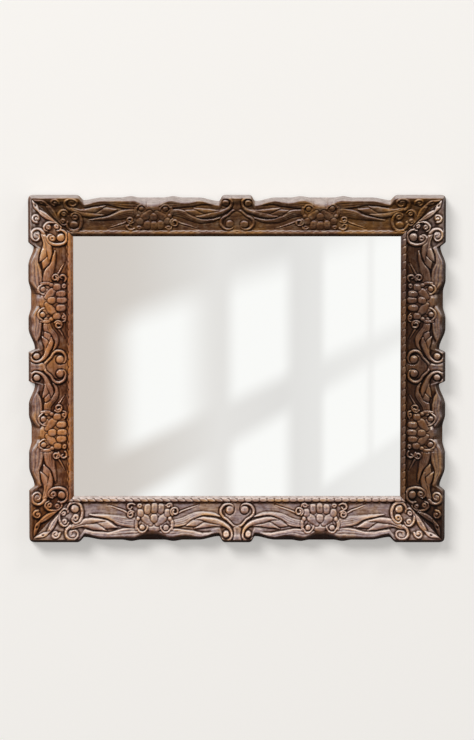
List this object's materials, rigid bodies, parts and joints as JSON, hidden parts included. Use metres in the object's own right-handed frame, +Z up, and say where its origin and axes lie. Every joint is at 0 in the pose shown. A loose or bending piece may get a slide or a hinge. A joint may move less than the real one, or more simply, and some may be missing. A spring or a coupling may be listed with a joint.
{
  "type": "wall mirror",
  "caption": "Rectangular wall mirror in a broad wooden frame carved with leaves, flowers, scrolls and heart cartouches, with a wavy outer edge and a bead row along the glass.",
  "frame": {"origin": "point on the wall plane behind the middle of the mirror glass", "axes": "+Z up, +X to the right as one looks at the mirror, +Y into the wall, so the mirror faces -Y"},
  "size_m": [0.946, 0.053, 0.79],
  "materials": {
    "rail_wood": "waxed satin",
    "spline_wood": "raw planed",
    "mirror": "polished",
    "board": "raw",
    "block_rubber": "matte",
    "bumper_rubber": "matte",
    "screw_steel": "zinc plated",
    "plated_steel": "zinc plated"
  },
  "bodies": {
    "frame": {"top_rail": "rail_wood", "bottom_rail": "rail_wood", "left_rail": "rail_wood", "right_rail": "rail_wood", "mitre_spline_top_left": "spline_wood", "mitre_spline_top_right": "spline_wood", "mitre_spline_bottom_left": "spline_wood", "mitre_spline_bottom_right": "spline_wood", "mirror_glass": "mirror", "backing_board": "board", "setting_blocks": "block_rubber", "turn_button_screws": "screw_steel", "hanger_strap_left": "plated_steel", "hanger_strap_right": "plated_steel", "hanger_screws": "screw_steel", "wall_bumpers": "bumper_rubber"},
    "turn_button_top_left": {"turn_button_top_left": "plated_steel"},
    "turn_button_top_right": {"turn_button_top_right": "plated_steel"},
    "turn_button_bottom_left": {"turn_button_bottom_left": "plated_steel"},
    "turn_button_bottom_right": {"turn_button_bottom_right": "plated_steel"},
    "turn_button_left_upper": {"turn_button_left_upper": "plated_steel"},
    "turn_button_left_lower": {"turn_button_left_lower": "plated_steel"},
    "turn_button_right_upper": {"turn_button_right_upper": "plated_steel"},
    "turn_button_right_lower": {"turn_button_right_lower": "plated_steel"},
    "hanger_ring_left": {"hanger_ring_left": "plated_steel"},
    "hanger_ring_right": {"hanger_ring_right": "plated_steel"}
  },
  "joints": [
    {"name": "turn_button_top_left_turn", "type": "hinge", "parent": "frame", "child": "turn_button_top_left", "pos_m": [-0.24486, -0.00512, 0.319], "axis": [0, 1, 0], "continuous": true},
    {"name": "turn_button_top_right_turn", "type": "hinge", "parent": "frame", "child": "turn_button_top_right", "pos_m": [0.24486, -0.00512, 0.319], "axis": [0, 1, 0], "continuous": true},
    {"name": "turn_button_bottom_left_turn", "type": "hinge", "parent": "frame", "child": "turn_button_bottom_left", "pos_m": [-0.24486, -0.00512, -0.319], "axis": [0, 1, 0], "continuous": true},
    {"name": "turn_button_bottom_right_turn", "type": "hinge", "parent": "frame", "child": "turn_button_bottom_right", "pos_m": [0.24486, -0.00512, -0.319], "axis": [0, 1, 0], "continuous": true},
    {"name": "turn_button_left_upper_turn", "type": "hinge", "parent": "frame", "child": "turn_button_left_upper", "pos_m": [-0.395, -0.00512, 0.1947], "axis": [0, 1, 0], "continuous": true},
    {"name": "turn_button_left_lower_turn", "type": "hinge", "parent": "frame", "child": "turn_button_left_lower", "pos_m": [-0.395, -0.00512, -0.1947], "axis": [0, 1, 0], "continuous": true},
    {"name": "turn_button_right_upper_turn", "type": "hinge", "parent": "frame", "child": "turn_button_right_upper", "pos_m": [0.395, -0.00512, 0.1947], "axis": [0, 1, 0], "continuous": true},
    {"name": "turn_button_right_lower_turn", "type": "hinge", "parent": "frame", "child": "turn_button_right_lower", "pos_m": [0.395, -0.00512, -0.1947], "axis": [0, 1, 0], "continuous": true},
    {"name": "hanger_ring_left_swing", "type": "hinge", "parent": "frame", "child": "hanger_ring_left", "pos_m": [-0.433, -0.00317, 0.13], "axis": [-1, 0, 0], "range_deg": [0, 170]},
    {"name": "hanger_ring_right_swing", "type": "hinge", "parent": "frame", "child": "hanger_ring_right", "pos_m": [0.433, -0.00317, 0.13], "axis": [-1, 0, 0], "range_deg": [0, 170]}
  ]
}
